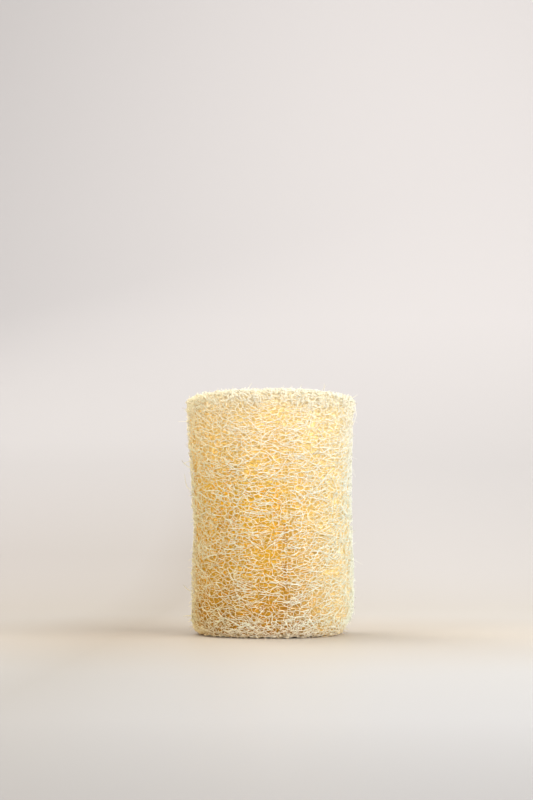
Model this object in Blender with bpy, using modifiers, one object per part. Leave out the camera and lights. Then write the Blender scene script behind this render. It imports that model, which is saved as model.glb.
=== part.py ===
"""Natural loofah sponge: one cut length of a dried luffa gourd's fibre skeleton.

A gently waisted, lightly ridged round body that stands on its cut end, with
three seed channels that run through it from end to end around a middle column.
Metres, +Z up, base on z = 0, length along Z, photographed side towards -Y.
"""

from math import cos, exp, pi, radians, sin, tau

import bmesh
import bpy
from mathutils import Vector

NAME = "loofah_sponge"

# Driving dimensions, in metres.
LENGTH = 0.125            # between the two cut ends
END_RADIUS_TOP = 0.0430   # widest radius near the top
END_RADIUS_BASE = 0.0424  # widest radius near the base
WAIST_DEPTH = 0.0015      # how far the middle draws in
RIM_TOP = 0.0026          # rounding of the top edge
RIM_BASE = 0.0044         # rounding of the bottom edge
RIDGES = 10               # lengthwise ridges of the gourd
RIDGE_DEPTH = 0.0004

# Places where the body swells or draws in, each as: direction in degrees, height as a
# share of the length, amount, spread round the body, spread along it.
SWELLS = (
    (180.0, 0.86, 0.0030, 0.35, 0.22),   # fuller below the top on one side
    (185.0, 0.28, 0.0009, 0.30, 0.12),
    (0.0, 0.28, 0.0011, 0.35, 0.22),     # fuller low on the other side
    (0.0, 0.55, 0.0003, 0.30, 0.15),
    (180.0, 0.56, 0.0009, 0.30, 0.09),
    (0.0, 0.0, -0.0052, 0.40, 0.065),    # both bottom corners draw in
    (185.0, 0.0, -0.0018, 0.35, 0.045),
)

CHANNEL_CENTRES = (radians(-93.0), radians(28.0), radians(149.0))
CHANNEL_MIDDLE = 0.0196   # distance from the sponge's axis to a channel's middle
CHANNEL_DEPTH = 0.0106    # half of the channel's radial width
CHANNEL_SWEEP = radians(38.0)  # half of the angle that the channel spans
CHANNEL_FLARE = 0.0012    # how much wider each mouth is

BODY_STEPS = 60
CHANNEL_STEPS = 28
BODY_LEVELS = 12
CHANNEL_LEVELS = 7
RIM_STEPS = 3


def clear_scene():
    for obj in list(bpy.data.objects):
        bpy.data.objects.remove(obj, do_unlink=True)


def make_collection(name):
    collection = bpy.data.collections.new(name)
    bpy.context.scene.collection.children.link(collection)
    return collection


def fibre_material():
    """Dry plant fibre: warm straw colour, rough, not metallic."""
    material = bpy.data.materials.new("loofah_fibre")
    material.use_nodes = True
    shader = material.node_tree.nodes["Principled BSDF"]
    shader.inputs["Base Color"].default_value = (0.74, 0.54, 0.30, 1.0)
    shader.inputs["Roughness"].default_value = 0.78
    shader.inputs["Metallic"].default_value = 0.0
    return material


def body_profile():
    """Half section of the body as (share of the radius, inset, height), top to bottom.

    The inset is the edge rounding: it is kept apart from the radius so that the
    ridges and the waist can be laid on afterwards with the rounding unchanged.
    """
    points = [(0.0, 0.0, LENGTH), (0.55, 0.0, LENGTH)]
    for i in range(RIM_STEPS + 1):
        turn = 0.5 * pi * i / RIM_STEPS
        points.append((1.0, -RIM_TOP * (1 - sin(turn)), LENGTH - RIM_TOP * (1 - cos(turn))))
    low, high = RIM_BASE, LENGTH - RIM_TOP
    for i in range(1, BODY_LEVELS):
        points.append((1.0, 0.0, high + (low - high) * i / BODY_LEVELS))
    for i in range(RIM_STEPS + 1):
        turn = 0.5 * pi * i / RIM_STEPS
        points.append((1.0, -RIM_BASE * (1 - cos(turn)), RIM_BASE * (1 - sin(turn))))
    points += [(0.55, 0.0, 0.0), (0.0, 0.0, 0.0)]
    return points


def outer_radius(angle, height):
    """Radius of the body's skin: waisted, ridged lengthwise, a little out of round, with its swells."""
    t = height / LENGTH
    ends = END_RADIUS_BASE + (END_RADIUS_TOP - END_RADIUS_BASE) * t
    waist = WAIST_DEPTH * sin(pi * min(max(t, 0.0), 1.0)) ** 1.5
    ridges = RIDGE_DEPTH * cos(RIDGES * angle + 0.5 * sin(2 * angle) + 0.25 * sin(tau * t))
    out_of_round = 0.00035 * sin(2 * angle + 0.8 + 0.7 * t) + 0.00030 * sin(3 * angle - 0.5 + 1.3 * t)
    swell = sum(
        amount * exp(-((1 - cos(angle - radians(at))) / spread) - ((t - level) / tall) ** 2)
        for at, level, amount, spread, tall in SWELLS
    )
    return ends - waist + ridges + out_of_round + swell


def new_mesh_object(name, mesh, collection):
    obj = bpy.data.objects.new(name, mesh)
    collection.objects.link(obj)
    return obj


def turned_mesh(name, profile, steps, collection):
    """Screws a half profile of (x, z) points round Z and returns it as a welded mesh object."""
    mesh = bpy.data.meshes.new(name + "_profile")
    edges = [(i, i + 1) for i in range(len(profile) - 1)]
    mesh.from_pydata([(x, 0.0, z) for x, z in profile], edges, [])
    source = new_mesh_object(name + "_profile", mesh, collection)
    screw = source.modifiers.new("turn", "SCREW")
    screw.angle = tau
    screw.steps = steps
    screw.render_steps = steps
    screw.axis = "Z"
    screw.use_merge_vertices = True
    screw.merge_threshold = 0.0001
    screw.use_smooth_shade = True
    bpy.context.view_layer.update()
    graph = bpy.context.evaluated_depsgraph_get()
    turned = bpy.data.meshes.new_from_object(source.evaluated_get(graph))
    turned.name = name
    bpy.data.objects.remove(source, do_unlink=True)

    work = bmesh.new()
    work.from_mesh(turned)
    bmesh.ops.remove_doubles(work, verts=work.verts, dist=1e-6)
    bmesh.ops.recalc_face_normals(work, faces=work.faces)
    work.to_mesh(turned)
    work.free()
    return new_mesh_object(name, turned, collection)


def make_body(collection):
    """The turned body, with its points moved out to the ridged, waisted skin."""
    profile = body_profile()
    # Turned first as a plain cylinder with rounded edges.
    start = [(END_RADIUS_TOP * part + inset, z) for part, inset, z in profile]
    body = turned_mesh(NAME, start, BODY_STEPS, collection)
    for vertex in body.data.vertices:
        x, y, z = vertex.co
        radius = Vector((x, y)).length
        if radius < 1e-6:
            continue
        angle = Vector((1.0, 0.0)).angle_signed(Vector((x, y))) * -1.0
        wanted = outer_radius(angle, z)
        scale = wanted / END_RADIUS_TOP if radius < 0.6 * END_RADIUS_TOP else (
            (wanted - (END_RADIUS_TOP - radius)) / radius)
        vertex.co.x = x * scale
        vertex.co.y = y * scale
    return body


def channel_point(turn, height, centre):
    """A point on a seed channel's wall: bean-shaped section, wider at the mouths and wandering a little."""
    t = height / LENGTH
    mouth = exp(-t * 9.0) + exp(-(1.0 - t) * 9.0)
    depth = CHANNEL_DEPTH + CHANNEL_FLARE * mouth - 0.0006 * sin(pi * t)
    sweep = CHANNEL_SWEEP * (1.0 + 0.05 * mouth)
    middle = CHANNEL_MIDDLE + 0.0004 * sin(tau * t + centre)
    full = abs(cos(turn)) ** 0.85 * (1 if cos(turn) >= 0 else -1)
    distance = middle + depth * full
    side = sweep * sin(turn) * (1.0 - 0.10 * cos(turn))
    angle = centre + side + radians(1.5) * sin(pi * t + 2.0 * centre)
    return distance * cos(angle), distance * sin(angle)


def make_channel(index, centre, collection):
    """Cutter for one seed channel: a turned rod whose points are moved onto the channel's wall."""
    overshoot = 0.006
    low, high = -overshoot, LENGTH + overshoot
    profile = [(0.0, high)]
    for i in range(CHANNEL_LEVELS + 1):
        profile.append((1.0, high + (low - high) * i / CHANNEL_LEVELS))
    profile.append((0.0, low))
    cutter = turned_mesh("seed_channel_%d" % index, profile, CHANNEL_STEPS, collection)
    ahead = Vector((1.0, 0.0))
    for vertex in cutter.data.vertices:
        x, y, z = vertex.co
        height = min(max(z, 0.0), LENGTH)
        if Vector((x, y)).length < 1e-6:
            vertex.co.x = CHANNEL_MIDDLE * cos(centre)
            vertex.co.y = CHANNEL_MIDDLE * sin(centre)
            continue
        turn = -ahead.angle_signed(Vector((x, y)))
        vertex.co.x, vertex.co.y = channel_point(turn, height, centre)
    work = bmesh.new()
    work.from_mesh(cutter.data)
    bmesh.ops.recalc_face_normals(work, faces=work.faces)
    work.to_mesh(cutter.data)
    work.free()
    cutter.hide_render = True
    cutter.display_type = "WIRE"
    return cutter


def centre_on_axis(body):
    """Moves the finished mesh so that its box is centred on Z and its base is on z = 0."""
    points = [vertex.co for vertex in body.data.vertices]
    middle_x = 0.5 * (min(p.x for p in points) + max(p.x for p in points))
    middle_y = 0.5 * (min(p.y for p in points) + max(p.y for p in points))
    lowest = min(p.z for p in points)
    for vertex in body.data.vertices:
        vertex.co -= Vector((middle_x, middle_y, lowest))


def main():
    clear_scene()
    parts = make_collection(NAME + "_parts")
    cutters = make_collection("cutters")
    body = make_body(parts)
    centre_on_axis(body)
    body.data.materials.clear()
    body.data.materials.append(fibre_material())
    for index, centre in enumerate(CHANNEL_CENTRES, start=1):
        cutter = make_channel(index, centre, cutters)
        cut = body.modifiers.new("seed_channel_%d" % index, "BOOLEAN")
        cut.operation = "DIFFERENCE"
        cut.solver = "EXACT"
        cut.object = cutter
    body.data.shade_smooth()
    body.data.set_sharp_from_angle(angle=radians(35.0))


main()
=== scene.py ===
import math

import bpy
import numpy as np
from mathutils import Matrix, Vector
from mathutils.geometry import delaunay_2d_cdt


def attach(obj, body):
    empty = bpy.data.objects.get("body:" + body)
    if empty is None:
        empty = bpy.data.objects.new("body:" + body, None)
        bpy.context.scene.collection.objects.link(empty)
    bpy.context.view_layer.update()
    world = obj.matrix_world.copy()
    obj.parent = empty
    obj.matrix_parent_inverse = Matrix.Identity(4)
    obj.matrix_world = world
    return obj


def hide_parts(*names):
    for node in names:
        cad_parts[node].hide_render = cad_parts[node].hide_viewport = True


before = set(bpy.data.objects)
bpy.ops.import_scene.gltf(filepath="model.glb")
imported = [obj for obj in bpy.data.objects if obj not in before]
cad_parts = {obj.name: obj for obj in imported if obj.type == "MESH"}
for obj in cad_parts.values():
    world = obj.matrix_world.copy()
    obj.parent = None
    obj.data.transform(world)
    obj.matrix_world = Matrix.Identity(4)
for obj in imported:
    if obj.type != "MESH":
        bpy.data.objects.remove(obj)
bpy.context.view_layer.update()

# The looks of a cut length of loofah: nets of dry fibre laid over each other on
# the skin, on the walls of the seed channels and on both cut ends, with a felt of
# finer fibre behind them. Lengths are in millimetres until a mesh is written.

TAU = 2 * math.pi
NODE = "loofah_sponge"

LENGTH = 125.0
END_RADIUS_TOP = 43.0
END_RADIUS_BASE = 42.4
WAIST_DEPTH = 1.5
RIM_TOP = 2.6
RIM_BASE = 4.4
RIDGES = 10
RIDGE_DEPTH = 0.4
# Places where the body swells or draws in: direction in degrees, height share,
# amount, spread round the body and spread along it.
SWELLS = (
    (180.0, 0.86, 3.0, 0.35, 0.22),
    (185.0, 0.28, 0.9, 0.30, 0.12),
    (0.0, 0.28, 1.1, 0.35, 0.22),
    (0.0, 0.55, 0.3, 0.30, 0.15),
    (180.0, 0.56, 0.9, 0.30, 0.09),
    (0.0, 0.0, -5.2, 0.40, 0.065),
    (185.0, 0.0, -1.8, 0.35, 0.045),
)
CHANNEL_CENTRES = [math.radians(a) for a in (-93.0, 28.0, 149.0)]
CHANNEL_MIDDLE = 19.6
CHANNEL_DEPTH = 10.6
CHANNEL_SWEEP = math.radians(38.0)
CHANNEL_FLARE = 1.2
LAP = 5.0  # how far the skin's nets run in over each cut end


# ---------------------------------------------------------------- noise

def lattice(ix, iy, iz, seed):
    n = (ix * 374761393 + iy * 668265263 + iz * 1440662683 + seed * 1274126177) & 0xFFFFFFFF
    n = ((n ^ (n >> 13)) * 1274126177) & 0xFFFFFFFF
    return ((n ^ (n >> 16)) & 0xFFFF) / 32767.5 - 1.0


def noise(points, size, seed):
    """Smooth noise from -1 to 1 at (N, 3) points, with features about size across."""
    q = np.asarray(points, float) / size
    base = np.floor(q).astype(np.int64)
    f = q - base
    f = f * f * (3 - 2 * f)
    total = np.zeros(len(q))
    for corner in range(8):
        dx, dy, dz = corner & 1, corner >> 1 & 1, corner >> 2 & 1
        weight = (
            (f[:, 0] if dx else 1 - f[:, 0])
            * (f[:, 1] if dy else 1 - f[:, 1])
            * (f[:, 2] if dz else 1 - f[:, 2])
        )
        total += weight * lattice(base[:, 0] + dx, base[:, 1] + dy, base[:, 2] + dz, seed)
    return total


# ---------------------------------------------------------------- the sponge's form

def outer_radius(angle, z):
    t = np.clip(z / LENGTH, 0, 1)
    ends = END_RADIUS_BASE + (END_RADIUS_TOP - END_RADIUS_BASE) * t
    waist = WAIST_DEPTH * np.sin(math.pi * t) ** 1.5
    ridges = RIDGE_DEPTH * np.cos(RIDGES * angle + 0.5 * np.sin(2 * angle) + 0.25 * np.sin(TAU * t))
    out_of_round = 0.35 * np.sin(2 * angle + 0.8 + 0.7 * t) + 0.30 * np.sin(3 * angle - 0.5 + 1.3 * t)
    swell = sum(
        amount * np.exp(-((1 - np.cos(angle - math.radians(at))) / spread) - ((t - height) / tall) ** 2)
        for at, height, amount, spread, tall in SWELLS
    )
    return ends - waist + ridges + out_of_round + swell


def box_middle():
    """The CAD body is centred on its box, so the same shift is found here."""
    a, z = np.meshgrid(np.linspace(0, TAU, 721), np.linspace(0, LENGTH, 60))
    r = outer_radius(a, z)
    x, y = r * np.cos(a), r * np.sin(a)
    return 0.5 * (x.min() + x.max()), 0.5 * (y.min() + y.max())


SHIFT_X, SHIFT_Y = box_middle()
SIDE = LENGTH - RIM_TOP - RIM_BASE
ARC_BASE = 0.5 * math.pi * RIM_BASE
ARC_TOP = 0.5 * math.pi * RIM_TOP
SKIN = LAP + ARC_BASE + SIDE + ARC_TOP + LAP  # length of the skin's half section


def skin(angle, s, depth):
    """A point depth below the skin. s runs along the half section: in from the base's
    middle, round the lower edge, up the side, round the upper edge and in over the top."""
    angle, s, depth = np.broadcast_arrays(
        np.asarray(angle, float), np.asarray(s, float), np.asarray(depth, float))
    inset = np.zeros_like(s)
    z = np.zeros_like(s)
    nr = np.ones_like(s)
    nz = np.zeros_like(s)
    a, b = LAP, LAP + ARC_BASE
    c, d = b + SIDE, b + SIDE + ARC_TOP
    m = s < a
    inset[m], z[m], nr[m], nz[m] = RIM_BASE + a - s[m], 0, 0, -1
    m = (s >= a) & (s < b)
    f = (s[m] - a) / RIM_BASE
    inset[m], z[m], nr[m], nz[m] = RIM_BASE * (1 - np.sin(f)), RIM_BASE * (1 - np.cos(f)), np.sin(f), -np.cos(f)
    m = (s >= b) & (s < c)
    z[m] = RIM_BASE + s[m] - b
    m = (s >= c) & (s < d)
    f = (s[m] - c) / RIM_TOP
    inset[m], z[m], nr[m], nz[m] = RIM_TOP * (1 - np.cos(f)), LENGTH - RIM_TOP * (1 - np.sin(f)), np.cos(f), np.sin(f)
    m = s >= d
    inset[m], z[m], nr[m], nz[m] = RIM_TOP + s[m] - d, LENGTH, 0, 1
    r = outer_radius(angle, z) - inset - depth * nr
    return np.stack([r * np.cos(angle) - SHIFT_X, r * np.sin(angle) - SHIFT_Y, z - depth * nz], -1)


def channel(turn, z, centre, depth):
    """A point depth behind the wall of a seed channel, away from the channel's middle."""
    t = np.clip(z / LENGTH, 0, 1)
    mouth = np.exp(-t * 9.0) + np.exp(-(1.0 - t) * 9.0)
    reach = CHANNEL_DEPTH + CHANNEL_FLARE * mouth - 0.6 * np.sin(math.pi * t) + depth
    sweep = CHANNEL_SWEEP * (1.0 + 0.05 * mouth) + depth / (CHANNEL_MIDDLE + 1.0)
    middle = CHANNEL_MIDDLE + 0.4 * np.sin(TAU * t + centre)
    full = np.abs(np.cos(turn)) ** 0.85 * np.sign(np.cos(turn))
    distance = np.maximum(middle + reach * full, 1.0)
    angle = centre + sweep * np.sin(turn) * (1.0 - 0.10 * np.cos(turn)) + math.radians(1.5) * np.sin(math.pi * t + 2.0 * centre)
    return np.stack([distance * np.cos(angle), distance * np.sin(angle), z + 0 * turn], -1)


def in_channel(x, y, z, margin):
    """True where a point is inside any channel grown by margin."""
    inside = np.zeros(len(x), bool)
    steps = np.linspace(0, TAU, 49)[:-1]
    for centre in CHANNEL_CENTRES:
        loop = channel(steps, np.full(48, z), centre, margin)[:, :2]
        nxt = np.roll(loop, -1, 0)
        hit = np.zeros(len(x), bool)
        for (x0, y0), (x1, y1) in zip(loop, nxt):
            if y0 == y1:
                continue
            crosses = (y0 > y) != (y1 > y)
            hit ^= crosses & (x < (x1 - x0) * (y - y0) / (y1 - y0) + x0)
        inside |= hit
    return inside


# ---------------------------------------------------------------- nets

def cell_seeds(width, height, cell_w, cell_h, jitter, rng, ladders=(), wrap=True):
    """Seed points of a net's cells: loose rows, with regular columns along each ladder."""
    nx, ny = max(3, round(width / cell_w)), max(3, round(height / cell_h))
    i, j = np.meshgrid(np.arange(nx), np.arange(-1, ny + 1))
    i, j = i.ravel(), j.ravel()
    u = (i + 0.5 * (j % 2)) * width / nx + rng.uniform(-jitter, jitter, len(i)) * cell_w
    v = (j + 0.5) * height / ny + rng.uniform(-jitter, jitter, len(i)) * cell_h
    keep = rng.random(len(i)) > 0.10
    u, v = u[keep], v[keep]
    for at, columns, pitch, rung, low, high in ladders:
        half = 0.5 * columns * pitch
        off = (u - at + 0.5 * width) % width - 0.5 * width
        keep = (np.abs(off) > half) | (v < low) | (v > high)
        u, v = u[keep], v[keep]
        rungs = np.arange(low, high, rung)
        for k in range(columns):
            drift = 0.7 * np.sin(rungs / 9.0 + at) + 0.4 * np.sin(rungs / 3.7 + 2 * at)
            u = np.append(u, at + (k - 0.5 * (columns - 1)) * pitch + drift + rng.normal(0, 0.22, len(rungs)))
            v = np.append(v, rungs + rng.normal(0, 0.22, len(rungs)))
    if wrap:
        u = u % width
    return u, v


def dual_net(u, v, stretch, width=None):
    """Edges of the cells round the seeds. With width, the net closes round on itself.
    Returns node positions (N, 2) and edges (M, 2)."""
    if width is not None:
        band = 12.0
        left, right = u < band, u > width - band
        u, v = np.concatenate([u, u[left] + width, u[right] - width]), np.concatenate([v, v[left], v[right]])
    points = [Vector((a / stretch, b)) for a, b in zip(u.tolist(), v.tolist())]
    made = delaunay_2d_cdt(points, [], [], 0, 1e-7)
    verts = np.array([(p.x, p.y) for p in made[0]])
    tris = np.array([f for f in made[2] if len(f) == 3])
    a, b, c = verts[tris[:, 0]], verts[tris[:, 1]], verts[tris[:, 2]]
    d = 2 * (a[:, 0] * (b[:, 1] - c[:, 1]) + b[:, 0] * (c[:, 1] - a[:, 1]) + c[:, 0] * (a[:, 1] - b[:, 1]))
    d = np.where(np.abs(d) < 1e-9, 1e-9, d)
    aa, bb, cc = (a ** 2).sum(1), (b ** 2).sum(1), (c ** 2).sum(1)
    x = (aa * (b[:, 1] - c[:, 1]) + bb * (c[:, 1] - a[:, 1]) + cc * (a[:, 1] - b[:, 1])) / d
    y = (aa * (c[:, 0] - b[:, 0]) + bb * (a[:, 0] - c[:, 0]) + cc * (b[:, 0] - a[:, 0])) / d
    middle = (a + b + c) / 3
    far = (np.abs(x - middle[:, 0]) > 3) | (np.abs(y - middle[:, 1]) > 3)
    x[far], y[far] = middle[far, 0], middle[far, 1]
    # Nodes drawn a little towards the cell corners' middle give the rounder cells of grown fibre.
    x, y = 0.75 * x + 0.25 * middle[:, 0], 0.75 * y + 0.25 * middle[:, 1]
    sides = np.concatenate([tris[:, [0, 1]], tris[:, [1, 2]], tris[:, [2, 0]]])
    owner = np.tile(np.arange(len(tris)), 3)
    sides = np.sort(sides, 1)
    order = np.lexsort((sides[:, 1], sides[:, 0]))
    sides, owner = sides[order], owner[order]
    same = (sides[1:] == sides[:-1]).all(1)
    edges = np.stack([owner[:-1][same], owner[1:][same]], 1)
    nodes = np.stack([x * stretch, y], 1)
    if width is not None:
        mid = 0.5 * (nodes[edges[:, 0], 0] + nodes[edges[:, 1], 0])
        edges = edges[(mid >= 0) & (mid < width)]
    return nodes, edges


def bent(p, q, rng, bow, rise=None, count=3):
    """Paths of count points from p to q that bow sideways a little."""
    length = np.linalg.norm(q - p, axis=1, keepdims=True)
    side = rng.normal(0, 1, p.shape)
    along = (q - p) / np.maximum(length, 1e-6)
    side -= (side * along).sum(1, keepdims=True) * along
    side /= np.maximum(np.linalg.norm(side, axis=1, keepdims=True), 1e-6)
    path = []
    for k in range(count):
        t = k / (count - 1)
        path.append(p + (q - p) * t + side * length * bow * 4 * t * (1 - t))
    return np.stack(path, 1)


# ---------------------------------------------------------------- tubes

class Tubes:
    """Collects fibres and writes them as one mesh of three-sided tubes."""

    def __init__(self):
        self.verts, self.quads, self.tris, self.count = [], [], [], 0

    def add(self, paths, radii, rng, sides=3, pointed=False):
        m, k, _ = paths.shape
        if m == 0:
            return
        radii = np.broadcast_to(radii, (m, k))
        tangent = np.empty_like(paths)
        tangent[:, 1:-1] = paths[:, 2:] - paths[:, :-2]
        tangent[:, 0] = paths[:, 1] - paths[:, 0]
        tangent[:, -1] = paths[:, -1] - paths[:, -2]
        tangent /= np.maximum(np.linalg.norm(tangent, axis=2, keepdims=True), 1e-9)
        main = paths[:, -1] - paths[:, 0]
        main /= np.maximum(np.linalg.norm(main, axis=1, keepdims=True), 1e-9)
        ref = rng.normal(0, 1, (m, 3))
        ref -= (ref * main).sum(1, keepdims=True) * main
        ref /= np.maximum(np.linalg.norm(ref, axis=1, keepdims=True), 1e-9)
        one = np.cross(tangent, ref[:, None, :])
        one /= np.maximum(np.linalg.norm(one, axis=2, keepdims=True), 1e-9)
        two = np.cross(tangent, one)
        rings = []
        for i in range(sides):
            a = TAU * i / sides
            rings.append(paths + radii[..., None] * (math.cos(a) * one + math.sin(a) * two))
        verts = np.stack(rings, 2)  # m, k, sides, 3
        start = self.count
        self.verts.append(verts.reshape(-1, 3))
        self.count += m * k * sides
        base = start + (np.arange(m)[:, None, None] * k + np.arange(k - 1)[None, :, None]) * sides
        i = np.arange(sides)[None, None, :]
        j = (i + 1) % sides
        self.quads.append(np.stack([base + i, base + sides + i, base + sides + j, base + j], -1).reshape(-1, 4))
        if pointed:
            for ring, flip in ((0, False), (k - 1, True)):
                root = start + (np.arange(m) * k + ring)[:, None] * sides
                tri = np.concatenate([root, root + 1, root + 2], 1) if sides == 3 else None
                if tri is not None:
                    self.tris.append(tri[:, ::-1] if not flip else tri)

    def triangles(self):
        return 2 * sum(len(q) for q in self.quads) + sum(len(t) for t in self.tris)

    def build(self, name, material):
        verts = np.concatenate(self.verts) * 0.001
        quads = np.concatenate(self.quads)
        tris = np.concatenate(self.tris) if self.tris else np.zeros((0, 3), int)
        loops = np.concatenate([quads.ravel(), tris.ravel()])
        starts = np.concatenate([np.arange(len(quads)) * 4, len(quads) * 4 + np.arange(len(tris)) * 3])
        return write_mesh(name, verts, loops, starts, material)


def write_mesh(name, verts, loops, starts, material):
    mesh = bpy.data.meshes.new(name)
    mesh.vertices.add(len(verts))
    mesh.vertices.foreach_set("co", np.ascontiguousarray(verts, np.float32).ravel())
    mesh.loops.add(len(loops))
    mesh.loops.foreach_set("vertex_index", np.ascontiguousarray(loops, np.int32))
    mesh.polygons.add(len(starts))
    mesh.polygons.foreach_set("loop_start", np.ascontiguousarray(starts, np.int32))
    mesh.update(calc_edges=True)
    mesh.validate()
    mesh.shade_smooth()
    mesh.materials.append(material)
    obj = bpy.data.objects.new(name, mesh)
    bpy.context.scene.collection.objects.link(obj)
    return obj


def above_floor(paths, radii):
    """Keeps every fibre's underside on or above the surface that the sponge stands on."""
    paths[..., 2] = np.maximum(paths[..., 2], np.broadcast_to(radii, paths.shape[:2]) + 0.02)
    return paths


# ---------------------------------------------------------------- materials

def add(tree, kind, **values):
    node = tree.nodes.new(kind)
    for key, value in values.items():
        setattr(node, key, value)
    return node


def math_node(tree, operation, a, b=None, clamp=False):
    node = add(tree, "ShaderNodeMath", operation=operation, use_clamp=clamp)
    for socket, value in zip(node.inputs, (a, b)):
        if value is None:
            continue
        if isinstance(value, (int, float)):
            socket.default_value = value
        else:
            tree.links.new(value, socket)
    return node.outputs[0]


def ramp(tree, value, stops):
    node = add(tree, "ShaderNodeValToRGB")
    elements = node.color_ramp.elements
    while len(elements) < len(stops):
        elements.new(0.5)
    for element, (position, colour) in zip(elements, stops):
        element.position = position
        element.color = (*colour, 1.0)
    tree.links.new(value, node.inputs["Fac"])
    return node.outputs["Color"]


def mix(tree, factor, a, b, blend="MIX"):
    node = add(tree, "ShaderNodeMix", data_type="RGBA", blend_type=blend)
    sockets = {"Factor": node.inputs[0], "A": node.inputs[6], "B": node.inputs[7]}
    for key, value in (("Factor", factor), ("A", a), ("B", b)):
        if isinstance(value, (int, float)):
            sockets[key].default_value = value
        elif isinstance(value, tuple):
            sockets[key].default_value = (*value, 1.0)
        else:
            tree.links.new(value, sockets[key])
    return node.outputs[2]


def noise_node(tree, coords, scale, detail=2.0, roughness=0.5):
    node = add(tree, "ShaderNodeTexNoise")
    node.inputs["Scale"].default_value = scale
    node.inputs["Detail"].default_value = detail
    node.inputs["Roughness"].default_value = roughness
    tree.links.new(coords, node.inputs["Vector"])
    return node.outputs["Fac"]


def place_in_sponge(tree):
    """Object coordinates, the height share, the depth in mm below the nearest outer
    face, and the share of the way across from the side away from the key light to the
    lit side, which the colours use for painted light and shade."""
    coords = add(tree, "ShaderNodeTexCoord").outputs["Object"]
    parts = add(tree, "ShaderNodeSeparateXYZ")
    tree.links.new(coords, parts.inputs[0])
    x, y, z = parts.outputs
    r = math_node(tree, "SQRT", math_node(tree, "ADD", math_node(tree, "MULTIPLY", x, x), math_node(tree, "MULTIPLY", y, y)))
    t = math_node(tree, "MULTIPLY", z, 1000.0 / LENGTH, clamp=True)
    waist = math_node(tree, "MULTIPLY", math_node(tree, "SINE", math_node(tree, "MULTIPLY", t, math.pi)), -WAIST_DEPTH)
    radius = math_node(tree, "ADD", waist, 42.7)
    side_depth = math_node(tree, "SUBTRACT", radius, math_node(tree, "MULTIPLY", r, 1000.0))
    # The body draws in towards its lower edge, so the face is that much nearer there.
    drawn = ramp(tree, t, [(0.0, (0.48, 0.48, 0.48)), (0.016, (0.30, 0.30, 0.30)), (0.035, (0.18, 0.18, 0.18)),
                           (0.065, (0.08, 0.08, 0.08)), (0.10, (0.0, 0.0, 0.0))])
    side_depth = math_node(tree, "SUBTRACT", side_depth, math_node(tree, "MULTIPLY", drawn, 8.0))
    top_depth = math_node(tree, "SUBTRACT", LENGTH, math_node(tree, "MULTIPLY", z, 1000.0))
    depth = math_node(tree, "MINIMUM", side_depth, top_depth)
    across = math_node(tree, "ADD", 0.5, math_node(tree, "MULTIPLY", x, 1000.0 / 88.0), clamp=True)
    return coords, t, depth, across


def see_through(tree, shader, colour, share):
    """Lets part of the light through the fibre, as thin dry fibre does."""
    glow = add(tree, "ShaderNodeBsdfTranslucent")
    tree.links.new(mix(tree, 1.0, colour, (1.0, 0.94, 0.76), "MULTIPLY"), glow.inputs["Color"])
    both = add(tree, "ShaderNodeMixShader")
    both.inputs[0].default_value = share
    tree.links.new(shader.outputs[0], both.inputs[1])
    tree.links.new(glow.outputs[0], both.inputs[2])
    tree.links.new(both.outputs[0], tree.nodes["Material Output"].inputs["Surface"])


# Painted light and shade from side to side: golden on the side away from the key light, paler on the lit side.
PAINTED_SIDE_LIGHT = [(0.0, (1.0, 0.93, 0.68)), (0.20, (1.0, 0.975, 0.90)), (0.40, (1.0, 0.98, 0.97)), (0.62, (0.99, 0.975, 0.99)), (0.92, (0.99, 0.985, 1.0))]


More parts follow.
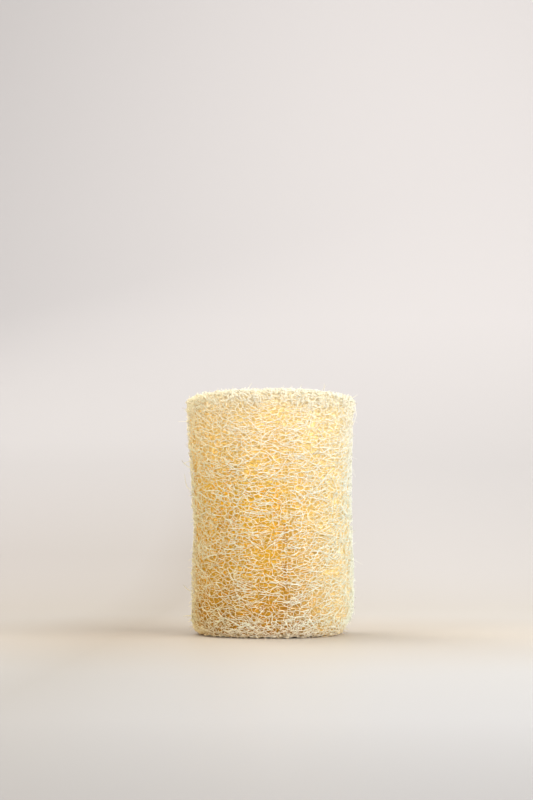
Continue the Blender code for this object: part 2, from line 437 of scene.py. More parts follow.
def fibre_material(name, stops, low_shade_tint, spread, deep=6.0):
    """Dry fibre: pale where it lies outside, straw and amber further in as painted shade and bounce glow between the
    fibres, with patchy and fine variation, and with painted light and shade by side, by height and at the top band.
    """
    material = bpy.data.materials.new(name)
    material.use_nodes = True
    tree = material.node_tree
    shader = tree.nodes["Principled BSDF"]
    coords, t, depth, across = place_in_sponge(tree)
    # Colour by depth: deeper fibre is painted amber, as shade and bounce glow between the fibres.
    share = math_node(tree, "DIVIDE", depth, deep)
    patches = noise_node(tree, coords, 130.0, 2.0)
    fine = noise_node(tree, coords, 900.0, 2.0)
    wobble = math_node(tree, "ADD",
                       math_node(tree, "MULTIPLY", math_node(tree, "SUBTRACT", patches, 0.5), spread),
                       math_node(tree, "MULTIPLY", math_node(tree, "SUBTRACT", fine, 0.5), spread * 1.2))
    value = math_node(tree, "ADD", share, wobble, clamp=True)
    colour = ramp(tree, value, stops)
    # Warmer and a little darker towards the foot: painted shade and glow near the floor.
    lower = ramp(tree, t, [(0.0, (1.0, 0.91, 0.76)), (0.06, low_shade_tint), (0.55, (0.965, 0.99, 0.98)), (0.88, (1.0, 1.0, 1.0))])
    colour = mix(tree, 1.0, colour, lower, "MULTIPLY")
    # Painted light and shade by side: golden away from the key light, paler on the lit side.
    colour = mix(tree, 1.0, colour, ramp(tree, across, PAINTED_SIDE_LIGHT), "MULTIPLY")
    # Darker and browner low on the side away from the key light: painted shade.
    painted_corner_shade = math_node(tree, "MULTIPLY", math_node(tree, "SUBTRACT", 1.0, across), math_node(tree, "SUBTRACT", 1.0, t))
    colour = mix(tree, 1.0, colour, ramp(tree, painted_corner_shade, [(0.15, (1.0, 1.0, 1.0)), (0.9, (0.92, 0.86, 0.76))]), "MULTIPLY")
    # Paler towards the top, most on the outer fibres: painted light from above.
    top = ramp(tree, t, [(0.70, (0.0, 0.0, 0.0)), (0.88, (0.30, 0.30, 0.30)), (1.0, (0.60, 0.60, 0.60))])
    top = math_node(tree, "MULTIPLY", top, math_node(tree, "SUBTRACT", 1.0, share, clamp=True))
    colour = mix(tree, top, colour, (0.975, 0.935, 0.79))
    tree.links.new(colour, shader.inputs["Base Color"])
    see_through(tree, shader, colour, 0.32)
    shader.inputs["Roughness"].default_value = 0.46
    shader.inputs["Specular IOR Level"].default_value = 0.45
    bump = add(tree, "ShaderNodeBump")
    bump.inputs["Strength"].default_value = 0.35
    bump.inputs["Distance"].default_value = 0.0001
    tree.links.new(noise_node(tree, coords, 2600.0, 2.0), bump.inputs["Height"])
    tree.links.new(bump.outputs["Normal"], shader.inputs["Normal"])
    return material


def felt_material(name):
    """The matted fibre behind the nets, with the lines of still finer nets over it. Its amber is painted glow of light
    bouncing deep in the fibre; it is painted paler towards the top and the lit side, and darker at the foot, on the far
    side from the key light and in recesses.
    """
    material = bpy.data.materials.new(name)
    material.use_nodes = True
    tree = material.node_tree
    shader = tree.nodes["Principled BSDF"]
    coords, t, depth, across = place_in_sponge(tree)
    squash = add(tree, "ShaderNodeMapping")
    squash.inputs["Scale"].default_value = (1.0, 1.0, 1.6)
    tree.links.new(coords, squash.inputs["Vector"])
    height = None
    lines = None
    for scale, width in ((330.0, 0.10), (620.0, 0.09)):
        cells = add(tree, "ShaderNodeTexVoronoi", feature="DISTANCE_TO_EDGE", voronoi_dimensions="3D")
        cells.inputs["Scale"].default_value = scale
        tree.links.new(squash.outputs[0], cells.inputs["Vector"])
        line = math_node(tree, "SUBTRACT", 1.0, math_node(tree, "DIVIDE", cells.outputs["Distance"], width), clamp=True)
        lines = line if lines is None else math_node(tree, "MAXIMUM", lines, math_node(tree, "MULTIPLY", line, 0.7))
    patches = noise_node(tree, coords, 160.0, 3.0)
    # The amber ground stands in for light that bounces deep in the fibre: painted glow, with random patches.
    ground = ramp(tree, patches, [(0.25, (0.97, 0.46, 0.022)), (0.5, (0.98, 0.53, 0.033)), (0.75, (0.98, 0.59, 0.055))])
    colour = mix(tree, lines, ground, (0.99, 0.71, 0.17))
    # Paler towards the top: painted light from above.
    colour = mix(tree, ramp(tree, t, [(0.55, (0.0, 0.0, 0.0)), (0.90, (0.8, 0.8, 0.8))]), colour, (0.985, 0.74, 0.34))
    # Paler on the lit side: painted light.
    colour = mix(tree, ramp(tree, across, [(0.52, (0.0, 0.0, 0.0)), (0.95, (0.8, 0.8, 0.8))]), colour, (0.985, 0.79, 0.42))
    # Paler still under the top rim: painted light through the rim.
    colour = mix(tree, ramp(tree, t, [(0.91, (0.0, 0.0, 0.0)), (0.975, (0.7, 0.7, 0.7))]), colour, (0.99, 0.89, 0.64))
    # A little darker at the far edge from the key light: painted shade.
    colour = mix(tree, 1.0, colour, ramp(tree, across, [(0.03, (1.0, 0.96, 0.90)), (0.26, (1.0, 1.0, 1.0))]), "MULTIPLY")
    # Darker towards the foot, less so on the lit side: painted shade near the floor.
    lower = ramp(tree, t, [(0.0, (0.46, 0.34, 0.28)), (0.12, (0.58, 0.48, 0.41)), (0.24, (0.70, 0.62, 0.56)),
                           (0.44, (0.84, 0.79, 0.74)), (0.65, (0.93, 0.90, 0.87)), (0.85, (1.0, 0.99, 0.98))])
    lower = mix(tree, ramp(tree, across, [(0.64, (0.0, 0.0, 0.0)), (0.90, (0.85, 0.85, 0.85))]), lower, (1.0, 1.0, 1.0))
    colour = mix(tree, 1.0, colour, lower, "MULTIPLY")
    # Darker where the felt lies deep, in grooves and seed channels: painted shade in the recesses.
    recess_shade = ramp(tree, math_node(tree, "MULTIPLY", depth, 0.1), [(0.31, (1.0, 1.0, 1.0)), (0.44, (0.68, 0.47, 0.26))])
    colour = mix(tree, 1.0, colour, recess_shade, "MULTIPLY")
    tree.links.new(colour, shader.inputs["Base Color"])
    see_through(tree, shader, colour, 0.10)
    shader.inputs["Roughness"].default_value = 0.85
    shader.inputs["Specular IOR Level"].default_value = 0.06
    bump = add(tree, "ShaderNodeBump")
    bump.inputs["Strength"].default_value = 1.0
    bump.inputs["Distance"].default_value = 0.0006
    tree.links.new(lines, bump.inputs["Height"])
    tree.links.new(bump.outputs["Normal"], shader.inputs["Normal"])
    return material


# Depth ramps of the fibre colours: the amber deeper in is painted shade and bounce glow between the fibres.
PALE = [(0.0, (0.943, 0.957, 0.91)), (0.24, (0.947, 0.95, 0.865)), (0.50, (0.97, 0.87, 0.54)), (1.0, (0.98, 0.66, 0.17))]
STRAW = [(0.0, (0.94, 0.94, 0.81)), (0.25, (0.965, 0.91, 0.65)), (0.5, (0.975, 0.79, 0.35)), (1.0, (0.98, 0.60, 0.11))]

pale_fibre = fibre_material("pale_fibre", PALE, (0.97, 0.995, 0.935), 0.30)
straw_fibre = fibre_material("straw_fibre", STRAW, (0.98, 0.94, 0.86), 0.35)
felt = felt_material("fibre_felt_painted_glow")


# ---------------------------------------------------------------- the skin's nets

AROUND = TAU * 42.0
SLOPE = 0.24


def ladder_list(rng, over, columns=4, pitch=1.7, rung=1.65):
    """One ladder along each of the gourd's ridges, and a second beside the front one."""
    found = []
    for k in range(RIDGES):
        angle = math.radians(-81.0 + 36.0 * k + rng.normal(0, 2.5) * (k > 0))
        found.append(((angle % TAU) / TAU * AROUND, columns if k == 0 else 2, pitch, rung, over + LAP + 6, over + SKIN - LAP - 16))
    found.append(((math.radians(-97.5) % TAU) / TAU * AROUND, 1, pitch, rung * 1.1, over + LAP + 8, over + LAP + 90))
    return found


def on_ladder(at):
    """From 0 to 1: how near points are to the front ladders, over the middle of the height."""
    angle = np.degrees(np.arctan2(at[:, 1] + SHIFT_Y, at[:, 0] + SHIFT_X))
    near = np.zeros(len(at))
    for centre, width in ((-81.0, 4.6), (-97.5, 3.4)):
        near = np.maximum(near, np.exp(-((angle - centre) / width) ** 2))
    near *= np.clip(0.70 + 1.0 * noise(at, 7.0, 91), 0, 1) * np.clip((90 - at[:, 2]) / 35, 0.45, 1)
    return near * np.clip((at[:, 2] - 3) / 12, 0, 1) * np.clip((100 - at[:, 2]) / 30, 0, 1)


def skin_net(tubes, cell_w, cell_h, jitter, depth, relief, rough, radius, seed, drop, ladders=False, split=1.7):
    """One net that follows the skin, depth mm below it."""
    rng = np.random.default_rng(seed)
    over = 14.0
    u, v = cell_seeds(AROUND, SKIN + 2 * over, cell_w, cell_h, jitter, rng, ladder_list(rng, over) if ladders else ())
    nodes, edges = dual_net(u, v, cell_w / cell_h, AROUND)
    # The rows sink towards the front and rise at the sides, and wander as they go.
    flat = skin(nodes[:, 0] / AROUND * TAU, np.clip(nodes[:, 1] - over, 0, SKIN), 0.0)
    v = nodes[:, 1] - over + SLOPE * 42.0 * np.sin(nodes[:, 0] / AROUND * TAU)
    v += 1.6 * noise(flat, 17.0, seed + 1) + 0.8 * noise(flat, 6.0, seed + 2)
    u = nodes[:, 0] + (0.5 if ladders else 1.3) * noise(flat, 15.0, seed + 3)
    below = depth + relief * noise(flat, 7.0, seed + 4) + rough * rng.normal(0, 1, len(nodes))
    below = np.maximum(below, 0.15)
    good = (v > 0.3) & (v < SKIN - 0.3)
    at = skin(u / AROUND * TAU, np.clip(v, 0, SKIN), below)
    at[:, 2] += np.clip(1 - at[:, 2] / 9, 0, 1) ** 2 * (0.4 + 0.5 * noise(flat, 4.5, seed + 9))
    at[:, 2] += np.clip((at[:, 2] - 117) / 6, 0, 1) * (0.9 + 0.5 * noise(flat, 5.0, seed + 10))
    edges = edges[good[edges].all(1)]
    p, q = at[edges[:, 0]], at[edges[:, 1]]
    length = np.linalg.norm(q - p, axis=1)
    sparse = drop * (1.0 + 1.6 * np.clip(1.6 * noise(p, 11.0, seed + 7) + 0.8 * noise(p, 4.5, seed + 8), -0.8, 1.6))
    if not ladders:
        sparse = sparse + 0.50 * on_ladder(p)
    edges = edges[(length > 0.18) & (length < 9) & (rng.random(len(length)) > sparse)]
    p, q = at[edges[:, 0]], at[edges[:, 1]]
    length = np.linalg.norm(q - p, axis=1)
    steep = np.abs(q[:, 2] - p[:, 2]) / np.maximum(length, 1e-6)
    thick = radius * np.exp(rng.normal(0, 0.20, len(p))) * (1.12 - 0.42 * steep)
    long = length > split
    for part, count in ((~long, 2), (long, 3)):
        if not part.any():
            continue
        paths = bent(p[part], q[part], rng, 0.06, count=count) if count > 2 else np.stack([p[part], q[part]], 1)
        r = thick[part][:, None] * np.ones((1, count))
        tubes.add(above_floor(paths, r), r, rng)


def strands(tubes, number, rng, steps, step, spread, depth, radius, steepness=0.0, ends=1.6):
    """Long fibres that wander over the skin, mostly round it, and dive in at both ends."""
    u = rng.uniform(0, AROUND, number)
    s = rng.uniform(LAP + 2, SKIN - LAP - 2, number)
    way = rng.choice([-1.0, 1.0], number)
    heading = rng.normal(0, spread, number)
    heading += np.where(rng.random(number) < steepness, rng.choice([-1, 1], number) * rng.uniform(0.5, 1.3, number), 0)
    turn = rng.normal(0, 0.05, number)
    path = []
    wave = rng.uniform(0, TAU, number)
    for k in range(steps):
        t = k / (steps - 1)
        dive = ends * (np.clip(1 - t * 6, 0, 1) ** 2 + np.clip(1 - (1 - t) * 6, 0, 1) ** 2)
        below = depth + 0.45 * np.sin(wave + k * 0.55) + dive
        path.append(skin(u / AROUND * TAU, np.clip(s, 1.0, SKIN - 1.0), np.maximum(below, 0.1)))
        heading = 0.93 * heading + turn + rng.normal(0, 0.13, number)
        turn = 0.9 * turn + rng.normal(0, 0.025, number)
        run = heading + SLOPE * np.cos(u / AROUND * TAU)
        u = u + way * step * np.cos(run)
        s = s + way * step * np.sin(run)
    paths = np.stack(path, 1)
    taper = np.ones(steps)
    taper[0] = taper[-1] = 0.6
    r = radius * np.exp(rng.normal(0, 0.15, number))[:, None] * taper[None, :]
    tubes.add(above_floor(paths, r), r, rng)


def loops(tubes, number, rng, width, height, radius, low=LAP + 1, high=SKIN - LAP, start=0.9):
    """Short fibres that arch out of the skin and back into it."""
    u = rng.uniform(0, TAU, number)
    s = rng.uniform(low, high, number)
    root = skin(u, s, start)
    out = skin(u, s, 0.0) - skin(u, s, 1.0)
    out /= np.linalg.norm(out, axis=1, keepdims=True)
    way = rng.normal(0, 1, (number, 3))
    way[:, 2] *= 0.7
    way -= (way * out).sum(1, keepdims=True) * out
    way /= np.linalg.norm(way, axis=1, keepdims=True)
    over = np.cross(way, out)
    w = rng.uniform(width[0], width[1], number)[:, None]
    h = rng.uniform(height[0], height[1], number)[:, None]
    lean = rng.normal(0, 0.35, (number, 1))
    path = []
    for t in (0.0, 0.25, 0.5, 0.75, 1.0):
        arch = 4 * t * (1 - t)
        path.append(root + way * w * (t - 0.5) + (out + over * lean) * h * arch)
    paths = np.stack(path, 1)
    r = radius * np.exp(rng.normal(0, 0.15, number))[:, None] * np.ones((1, 5))
    tubes.add(above_floor(paths, r), r, rng)


# Longer single fibres that stand clear of the outline.
WHISKERS = (
    ((-42.0, 0.0, 87.5), (-44.4, -0.6, 88.6), (-46.2, -1.0, 90.2), (-47.4, -1.2, 91.8)),
    ((-42.4, -2.0, 75.6), (-44.6, -2.4, 77.6), (-45.5, -2.6, 81.0), (-45.9, -2.6, 84.4)),
    ((-41.0, -3.0, 22.4), (-43.0, -3.4, 23.2), (-44.6, -3.6, 24.2), (-45.8, -3.6, 25.8)),
    ((42.4, -1.0, 124.4), (45.4, -1.2, 121.6), (46.2, -1.2, 116.4), (44.4, -1.0, 110.8)),
)


def stray(tubes, number, rng, length, lean, low=LAP + 1, high=SKIN - LAP, radius=0.14, start=1.2, bend=0.35):
    """Short loose ends that stand out of the skin."""
    u = rng.uniform(0, TAU, number)
    s = rng.uniform(low, high, number)
    root = skin(u, s, start)
    out = skin(u, s, 0.0) - skin(u, s, 1.0)
    out /= np.linalg.norm(out, axis=1, keepdims=True)
    way = out + lean * rng.normal(0, 1, (number, 3))
    way /= np.linalg.norm(way, axis=1, keepdims=True)
    size = rng.uniform(length[0], length[1], number)[:, None] * np.exp(rng.normal(0, 0.25, (number, 1)))
    curl = rng.normal(0, 1, (number, 3))
    curl -= (curl * way).sum(1, keepdims=True) * way
    path = []
    for t in (0.0, 0.35, 0.7, 1.0):
        path.append(root + way * size * t + curl * size * bend * t * t)
    paths = np.stack(path, 1)
    r = radius * np.exp(rng.normal(0, 0.2, number))[:, None] * np.array([1.0, 0.95, 0.85, 0.6])[None, :]
    tubes.add(above_floor(paths, r), r, rng, pointed=True)


outer = Tubes()
skin_net(outer, 3.5, 2.25, 0.70, 0.35, 0.72, 0.34, 0.149, 11, 0.20, split=1.4)
middle = Tubes()
skin_net(middle, 2.8, 1.95, 0.60, 1.2, 0.45, 0.25, 0.130, 23, 0.08, ladders=True, split=1.8)

surface = Tubes()
rng = np.random.default_rng(101)
strands(surface, 1200, rng, 12, 1.0, 0.42, 0.22, 0.139)
strands(surface, 400, rng, 8, 0.95, 0.45, 0.45, 0.118, steepness=0.8)
loops(surface, 850, rng, (1.6, 3.6), (0.5, 1.4), 0.120)
loops(surface, 900, rng, (1.8, 4.0), (0.8, 2.3), 0.15, low=SKIN - LAP - ARC_TOP - 5, high=SKIN - LAP + 3)
loops(surface, 420, rng, (1.6, 3.2), (0.5, 1.3), 0.155, low=LAP + 2, high=LAP + ARC_BASE + 4)

loose = Tubes()
rng = np.random.default_rng(202)
stray(loose, 1750, rng, (1.4, 2.7), 0.9, radius=0.120, bend=0.7)
stray(loose, 420, rng, (1.3, 2.3), 1.2, low=SKIN - LAP - ARC_TOP - 3, high=SKIN - LAP + 3, radius=0.14, bend=0.9)
stray(loose, 420, rng, (1.3, 2.6), 0.9, low=LAP + 1, high=LAP + ARC_BASE + 5, radius=0.13, bend=0.7)
stray(loose, 50, rng, (2.4, 3.6), 0.7, radius=0.15, bend=0.6)
for whisker in WHISKERS:
    path = np.array([whisker], float)
    r = np.array([[0.16, 0.15, 0.13, 0.08]])
    loose.add(path, r, rng, pointed=True)


# ---------------------------------------------------------------- the seed channels

def channel_net(tubes, centre, seed, cell_w, cell_h, depth, relief, radius, drop=0.08):
    rng = np.random.default_rng(seed)
    turns = np.linspace(0, TAU, 200)
    ring = channel(turns, np.full(200, 60.0), centre, depth)
    arc = np.concatenate([[0], np.cumsum(np.linalg.norm(np.diff(ring, axis=0), axis=1))])
    around = arc[-1]
    u, v = cell_seeds(around, LENGTH, cell_w, cell_h, 0.5, rng)
    nodes, edges = dual_net(u, v, cell_w / cell_h, around)
    flat = np.stack([nodes[:, 0], nodes[:, 1], np.full(len(nodes), 10.0 * seed)], 1)
    below = depth + relief * noise(flat, 6.0, seed) + 0.3 * rng.normal(0, 1, len(nodes))
    turn = np.interp(nodes[:, 0] % around, arc, turns)
    at = channel(turn, nodes[:, 1], centre, below)
    good = (nodes[:, 1] > 0.4) & (nodes[:, 1] < LENGTH - 0.4)
    edges = edges[good[edges].all(1)]
    p, q = at[edges[:, 0]], at[edges[:, 1]]
    length = np.linalg.norm(q - p, axis=1)
    edges = edges[(length > 0.2) & (length < 8) & (rng.random(len(length)) > drop)]
    paths = np.stack([at[edges[:, 0]], at[edges[:, 1]]], 1)
    r = radius * np.exp(rng.normal(0, 0.2, len(paths)))[:, None] * np.ones((1, 2))
    tubes.add(above_floor(paths, r), r, rng)


walls = Tubes()
for k, centre in enumerate(CHANNEL_CENTRES):
    channel_net(walls, centre, 51 + k, 2.6, 3.6, 0.6, 0.6, 0.24)


# ---------------------------------------------------------------- the cut ends

def end_net(tubes, height, cell, depth, rough, radius, seed, margin, rim, drop=0.08):
    """A net across a cut end, from the rim in to the channels and over the middle column."""
    rng = np.random.default_rng(seed)
    size = 92.0
    u, v = cell_seeds(size, size, cell, cell, 0.55, rng, wrap=False)
    nodes, edges = dual_net(u - 0.5 * size, v - 0.5 * size, 1.0)
    flat = np.concatenate([nodes, np.full((len(nodes), 1), seed * 7.0)], 1)
    x = nodes[:, 0] + 0.9 * noise(flat, 8.0, seed)
    y = nodes[:, 1] + 0.9 * noise(flat, 8.0, seed + 1)
    sink = depth + 0.7 * noise(flat, 6.0, seed + 2) + rough * rng.normal(0, 1, len(nodes))
    sink = np.maximum(sink, -0.6 if height > 50 else 0.1)
    z = height - sink if height > 50 else height + sink
    angle = np.arctan2(y + SHIFT_Y, x + SHIFT_X)
    good = np.hypot(x + SHIFT_X, y + SHIFT_Y) < outer_radius(angle, np.full(len(x), height)) - rim
    good &= ~in_channel(x, y, height, margin)
    at = np.stack([x, y, z], 1)
    edges = edges[good[edges].all(1)]
    p, q = at[edges[:, 0]], at[edges[:, 1]]
    length = np.linalg.norm(q - p, axis=1)
    edges = edges[(length > 0.2) & (length < 6) & (rng.random(len(length)) > drop)]
    paths = np.stack([at[edges[:, 0]], at[edges[:, 1]]], 1)
    r = radius * np.exp(rng.normal(0, 0.2, len(paths)))[:, None] * np.ones((1, 2))
    tubes.add(above_floor(paths, r), r, rng)


def cut_stubs(tubes, number, seed, height, length, radius=0.2, root_depth=4.5):
    """Cut fibres that run up to the top face."""
    rng = np.random.default_rng(seed)
    x, y = rng.uniform(-45, 45, number * 2), rng.uniform(-45, 45, number * 2)
    angle = np.arctan2(y + SHIFT_Y, x + SHIFT_X)
    good = np.hypot(x + SHIFT_X, y + SHIFT_Y) < outer_radius(angle, np.full(len(x), height)) - 1.5
    good &= ~in_channel(x, y, height, 0.3)
    x, y = x[good][:number], y[good][:number]
    n = len(x)
    root = np.stack([x, y, np.full(n, height - root_depth)], 1)
    slant = 0.35 * 4.5 / root_depth
    way = np.stack([rng.normal(0, slant, n), rng.normal(0, slant, n), np.ones(n)], 1)
    way /= np.linalg.norm(way, axis=1, keepdims=True)
    size = rng.uniform(length[0], length[1], n)[:, None]
    curl = rng.normal(0, 0.22 * 4.5 / root_depth, (n, 3))
    paths = np.stack([root + way * size * t + curl * size * t * t for t in (0.0, 0.5, 1.0)], 1)
    r = radius * np.exp(rng.normal(0, 0.2, n))[:, None] * np.array([1.0, 0.95, 0.75])[None, :]
    tubes.add(paths, r, rng, pointed=True)


ends = Tubes()
for layer, (depth, cell, seed) in enumerate(((-0.2, 2.5, 61), (1.2, 2.3, 62), (2.2, 2.3, 63))):
    end_net(ends, LENGTH, cell, depth, 0.35, 0.22, seed, 0.2, 2.0)
for layer, (depth, cell, seed) in enumerate(((0.9, 2.5, 66), (2.8, 2.5, 67))):
    end_net(ends, 0.0, cell, depth, 0.2, 0.22, seed, 0.2, 2.0)
cut_stubs(ends, 1500, 71, LENGTH, (3.0, 4.8), radius=0.17)
cut_stubs(ends, 900, 72, LENGTH, (5.0, 7.6), radius=0.18, root_depth=8.5)


# ---------------------------------------------------------------- the felt behind the nets

def felt_body(name, material, inset_side=2.1, inset_top=2.0, inset_base=1.6, inset_channel=2.6):
    """A closed body of matted fibre, whose amber material is painted glow: the sponge's own form drawn in on every
    side.
    """
    around, levels = 230, 96
    low, high = inset_base, LENGTH - inset_top
    angle = np.linspace(0, TAU, around + 1)[:-1]
    z = np.linspace(low, high, levels + 1)
    a, zz = np.meshgrid(angle, z)
    r = outer_radius(a, zz) - inset_side
    r -= 0.6 * np.clip(1 - (high - zz) / 1.8, 0, 1) ** 2
    r -= RIM_BASE * (1 - np.sqrt(1 - np.clip(1 - zz / RIM_BASE, 0, 1) ** 2))
    at = np.stack([r * np.cos(a) - SHIFT_X, r * np.sin(a) - SHIFT_Y, zz], -1).reshape(-1, 3)
    bump = 0.55 * noise(at, 12.0, 80) + 0.45 * noise(at, 4.0, 81) + 0.35 * noise(at, 1.9, 82)
    bump -= 1.7 * on_ladder(at)
    fade = np.clip(np.minimum(at[:, 2] - low, high - at[:, 2]) / 1.5, 0, 1)
    out = at.copy()
    out[:, 2] = 0
    out /= np.linalg.norm(out, axis=1, keepdims=True)
    at += out * (bump * fade)[:, None]
    at[-around:, 2] += 1.5
    verts, faces, count = [at], [], 0
    i, j = np.meshgrid(np.arange(around), np.arange(levels))
    k = (i + 1) % around
    faces.append(np.stack([j * around + i, j * around + k, (j + 1) * around + k, (j + 1) * around + i], -1).reshape(-1, 4))
    count = len(at)
    steps, rows = 64, 60
    loops = {low: [np.arange(around)], high: [levels * around + np.arange(around)]}
    for centre in CHANNEL_CENTRES:
        turn = np.linspace(0, TAU, steps + 1)[:-1]
        zc = np.linspace(low, high, rows + 1)
        tt, cz = np.meshgrid(turn, zc)
        wall = channel(tt.ravel(), cz.ravel(), centre, np.full(tt.size, -0.0) + inset_channel)
        wobble = np.clip(np.minimum(wall[:, 2] - low, high - wall[:, 2]) / 1.5, 0, 1)
        hub = np.array([CHANNEL_MIDDLE * math.cos(centre), CHANNEL_MIDDLE * math.sin(centre), 0.0])
        away = wall - hub
        away[:, 2] = 0
        away /= np.linalg.norm(away, axis=1, keepdims=True)
        wall += away * (wobble * (0.45 * noise(wall, 3.5, 83) + 0.3 * noise(wall, 1.7, 84)))[:, None]
        verts.append(wall)
        i, j = np.meshgrid(np.arange(steps), np.arange(rows))
        k = (i + 1) % steps
        faces.append(count + np.stack([j * steps + i, (j + 1) * steps + i, (j + 1) * steps + k, j * steps + k], -1).reshape(-1, 4))
        loops[low].append(count + np.arange(steps))
        loops[high].append(count + rows * steps + np.arange(steps))
        count += len(wall)
    verts = np.concatenate(verts)
    tris = []
    extra = []
    for height, rings in loops.items():
        ids = np.concatenate(rings)
        points = [Vector(p) for p in verts[ids, :2].tolist()]
        limits, start = [], 0
        for ring in rings:
            n = len(ring)
            limits += [(start + k, start + (k + 1) % n) for k in range(n)]
            start += n
        rng = np.random.default_rng(int(height) + 5)
        x, y = np.meshgrid(np.arange(-42, 42, 1.5), np.arange(-42, 42, 1.5))
        x = x.ravel() + rng.uniform(-0.4, 0.4, x.size)
        y = y.ravel() + rng.uniform(-0.4, 0.4, y.size)
        turn = np.arctan2(y + SHIFT_Y, x + SHIFT_X)
        good = np.hypot(x + SHIFT_X, y + SHIFT_Y) < outer_radius(turn, np.full(len(x), height)) - inset_side - 2.6
        good &= ~in_channel(x, y, height, inset_channel + 1.0)
        x, y = x[good], y[good]
        lift = 0.7 * noise(np.stack([x, y, 0 * x + height], 1), 3.2, 85) + 0.35 * noise(np.stack([x, y, 0 * x + height], 1), 1.6, 86)
        if height > 50:
            reach = outer_radius(turn[good], np.full(len(x), height)) - np.hypot(x + SHIFT_X, y + SHIFT_Y)
            lift += 1.5 * np.clip((10 - reach) / 5, 0, 1)
        first = count + sum(len(e) for e in extra)
        extra.append(np.stack([x, y, height + lift], 1))
        points += [Vector(p) for p in np.stack([x, y], 1).tolist()]
        index = np.concatenate([ids, first + np.arange(len(x))])
        made = delaunay_2d_cdt(points, limits, [], 0, 1e-7)
        corners = np.array([f for f in made[2] if len(f) == 3])
        source = np.array([o[0] if o else -1 for o in made[3]])
        flat = np.array([(p.x, p.y) for p in made[0]])
        centre_of = flat[corners].mean(1)
        turn = np.arctan2(centre_of[:, 1] + SHIFT_Y, centre_of[:, 0] + SHIFT_X)
        inside = ~in_channel(centre_of[:, 0], centre_of[:, 1], height, inset_channel)
        # The ring's own corners decide for triangles that lie between two neighbouring ring points.
        is_hole = np.zeros(len(corners), bool)
        for n, ring in enumerate(rings):
            members = set(range(sum(len(q) for q in rings[:n]), sum(len(q) for q in rings[:n + 1])))
            all_in = np.array([all(source[c] in members for c in tri) for tri in corners])
            if n > 0:
                is_hole |= all_in & ~inside
        keep = inside & ~is_hole
        corners = source[corners[keep]]
        corners = index[corners]
        area = np.cross(
            np.concatenate([verts, *extra])[corners[:, 1]][:, :2] - np.concatenate([verts, *extra])[corners[:, 0]][:, :2],
            np.concatenate([verts, *extra])[corners[:, 2]][:, :2] - np.concatenate([verts, *extra])[corners[:, 0]][:, :2])
        up = height > 50
        flip = (area > 0) != up
        corners[flip] = corners[flip][:, ::-1]
        tris.append(corners)
    verts = np.concatenate([verts, *extra])
    quads = np.concatenate(faces)
    tris = np.concatenate(tris)
    loops_all = np.concatenate([quads.ravel(), tris.ravel()])
    starts = np.concatenate([np.arange(len(quads)) * 4, len(quads) * 4 + np.arange(len(tris)) * 3])
    return write_mesh(name, verts * 0.001, loops_all, starts, material)


pieces = [
    outer.build("outer_net", pale_fibre),
    middle.build("middle_net", straw_fibre),
    surface.build("surface_strands", pale_fibre),
    loose.build("stray_fibres", pale_fibre),
    walls.build("channel_nets", straw_fibre),
    ends.build("cut_end_nets", pale_fibre),
    felt_body("fibre_felt_painted_glow", felt),
]
total = 0
for piece in pieces:
    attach(piece, "root")
    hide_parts(NODE)
    piece.data.calc_loop_triangles()
    total += len(piece.data.loop_triangles)
    print("piece", piece.name, len(piece.data.loop_triangles))
print("triangles in all", total)


# ---------------------------------------------------------------- floor, backdrop and light

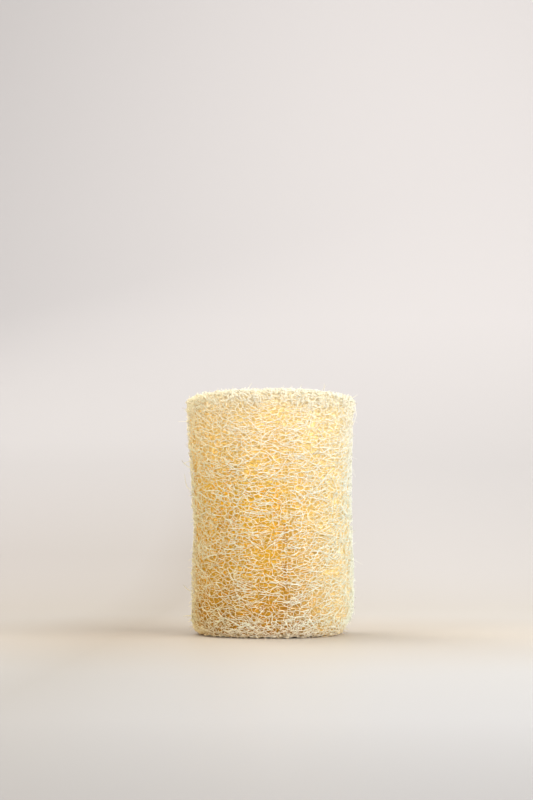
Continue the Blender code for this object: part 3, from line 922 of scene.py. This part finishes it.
def backdrop():
    """A pale seamless sweep: floor at the front, rising to a wall far behind."""
    start, bend = 0.35, 2.6
    profile = [(-9.0, 0.0), (start, 0.0)]
    for k in range(1, 33):
        a = 0.5 * math.pi * k / 32
        profile.append((start + bend * math.sin(a), bend * (1 - math.cos(a))))
    profile.append((start + bend, 4.5))
    mesh = bpy.data.meshes.new("backdrop")
    verts, faces = [], []
    for y, z in profile:
        verts += [(-9.0, y, z), (9.0, y, z)]
    for k in range(len(profile) - 1):
        faces.append((2 * k, 2 * k + 1, 2 * k + 3, 2 * k + 2))
    mesh.from_pydata(verts, [], faces)
    mesh.shade_smooth()
    obj = bpy.data.objects.new("backdrop", mesh)
    bpy.context.scene.collection.objects.link(obj)
    material = bpy.data.materials.new("backdrop_paper_painted_light")
    material.use_nodes = True
    tree = material.node_tree
    shader = tree.nodes["Principled BSDF"]
    coords = add(tree, "ShaderNodeTexCoord").outputs["Object"]
    parts = add(tree, "ShaderNodeSeparateXYZ")
    tree.links.new(coords, parts.inputs[0])
    back = math_node(tree, "DIVIDE", math_node(tree, "ADD", parts.outputs["Y"], 0.5), 2.4, clamp=True)
    # Front to back the paper is painted darker at the front edge and warmer round and behind the sponge: painted shade
    # and painted bounce light from the sponge.
    colour = ramp(tree, back, [
        (0.0, (0.335, 0.325, 0.322)), (0.056, (0.44, 0.434, 0.434)), (0.12, (0.475, 0.464, 0.452)), (0.2, (0.495, 0.465, 0.425)),
        (0.36, (0.475, 0.442, 0.400)), (0.5, (0.48, 0.454, 0.432)), (0.75, (0.465, 0.446, 0.436)), (1.0, (0.53, 0.508, 0.500))])
    # Across the floor the paper is painted darker to the left, with a darker dip just left of the sponge: painted shade
    # and the sponge's painted shadow.
    painted_shadow_slant = math_node(tree, "MULTIPLY", math_node(tree, "ADD", parts.outputs["X"], 0.5), 1.4, clamp=True)
    on_floor = math_node(tree, "MULTIPLY", math_node(tree, "SUBTRACT", 0.8, back), 4.0, clamp=True)
    colour = mix(tree, on_floor, colour, mix(tree, 1.0, colour, ramp(
        tree, painted_shadow_slant, [(0.2, (0.86, 0.84, 0.825)), (0.50, (0.858, 0.838, 0.81)), (0.59, (0.785, 0.748, 0.695)), (0.70, (0.955, 0.945, 0.93)),
            (0.95, (1.0, 1.0, 1.0))]), "MULTIPLY"))
    # Right round the sponge the paper is painted warmer: painted bounce light from the sponge.
    away = add(tree, "ShaderNodeVectorMath", operation="LENGTH")
    tree.links.new(coords, away.inputs[0])
    colour = mix(tree, 1.0, colour, ramp(tree, math_node(tree, "MULTIPLY", away.outputs["Value"], 4.0), [
        (0.16, (0.99, 0.93, 0.85)), (1.0, (1.0, 1.0, 1.0))]), "MULTIPLY")
    # Under the front light it is darker, so that it isn't burnt out there.
    colour = mix(tree, 1.0, colour, ramp(tree, math_node(tree, "MULTIPLY", parts.outputs["Y"], -0.5), [
        (0.26, (1.0, 1.0, 1.0)), (0.38, (0.50, 0.50, 0.50)), (0.70, (0.42, 0.42, 0.42))]), "MULTIPLY")
    # Far outside the studio's lights the paper is paler, so that it stays even to its edges.
    aside = math_node(tree, "MULTIPLY", math_node(tree, "SUBTRACT", math_node(tree, "ABSOLUTE", parts.outputs["X"]), 1.6), 0.6)
    ahead = math_node(tree, "SUBTRACT", math_node(tree, "MULTIPLY", parts.outputs["Y"], -2.5), 3.5)
    far = math_node(tree, "MAXIMUM", aside, ahead, clamp=True)
    colour = mix(tree, far, colour, (0.84, 0.83, 0.82))
    tree.links.new(colour, shader.inputs["Base Color"])
    shader.inputs["Roughness"].default_value = 0.5
    shader.inputs["Specular IOR Level"].default_value = 0.12
    mesh.materials.append(material)
    return obj


def area_light(name, at, aim, size, power, colour, shape="RECTANGLE", size_y=None):
    data = bpy.data.lights.new(name, "AREA")
    data.shape = shape
    data.size = size
    if size_y:
        data.size_y = size_y
    data.energy = power
    data.color = colour
    obj = bpy.data.objects.new(name, data)
    obj.location = at
    obj.rotation_mode = "QUATERNION"
    obj.rotation_quaternion = (Vector(aim) - Vector(at)).to_track_quat("-Z", "Y")
    obj.visible_camera = False
    bpy.context.scene.collection.objects.link(obj)
    return obj


backdrop()
area_light("key", (1.08, -0.58, 0.62), (0.0, 0.0, 0.06), 1.4, 22.3, (0.98, 0.985, 0.975), size_y=0.8)
area_light("card", (-1.05, -0.95, 0.22), (0.0, 0.0, 0.10), 0.5, 14.0, (1.0, 0.98, 0.93), size_y=0.3)
area_light("front", (0.58, -1.38, 0.36), (0.0, 0.0, 0.07), 1.2, 13.6, (0.97, 0.99, 1.0), size_y=0.6)
area_light("back", (-0.9, 1.1, 1.1), (0.0, 0.0, 0.08), 1.0, 7.0, (1.0, 0.97, 0.93), size_y=0.8)
area_light("top", (-0.35, 0.2, 1.1), (0.0, 0.0, 0.10), 0.6, 6.5, (1.0, 0.98, 0.95), size_y=0.6)
area_light("wall_wash", (0.6, 0.9, 2.2), (0.1, 2.9, 1.3), 1.5, 38.0, (1.0, 0.98, 0.97), size_y=1.5)

world = bpy.data.worlds.new("studio")
world.use_nodes = True
world.node_tree.nodes["Background"].inputs[0].default_value = (1.0, 0.98, 0.965, 1.0)
world.node_tree.nodes["Background"].inputs[1].default_value = 0.56
bpy.context.scene.world = world

scene = bpy.context.scene
scene.view_settings.view_transform = "Standard"
scene.view_settings.look = "None"
scene.cycles.max_bounces = 28
scene.cycles.diffuse_bounces = 24
scene.cycles.transmission_bounces = 24
scene.cycles.glossy_bounces = 2

# ---------------------------------------------------------------- camera

FOCAL_PX = 1307.0
DISTANCE = 0.700
EYE = 0.0405
camera_data = bpy.data.cameras.new("camera")
camera_data.sensor_width = 36.0
camera_data.lens = FOCAL_PX / 800.0 * 36.0
camera = bpy.data.objects.new("camera", camera_data)
camera.location = (-4.0 / FOCAL_PX * DISTANCE, -DISTANCE, EYE)
camera.rotation_euler = (math.radians(90.0) + math.atan(157.0 / FOCAL_PX), 0.0, 0.0)
bpy.context.scene.collection.objects.link(camera)
scene.camera = camera
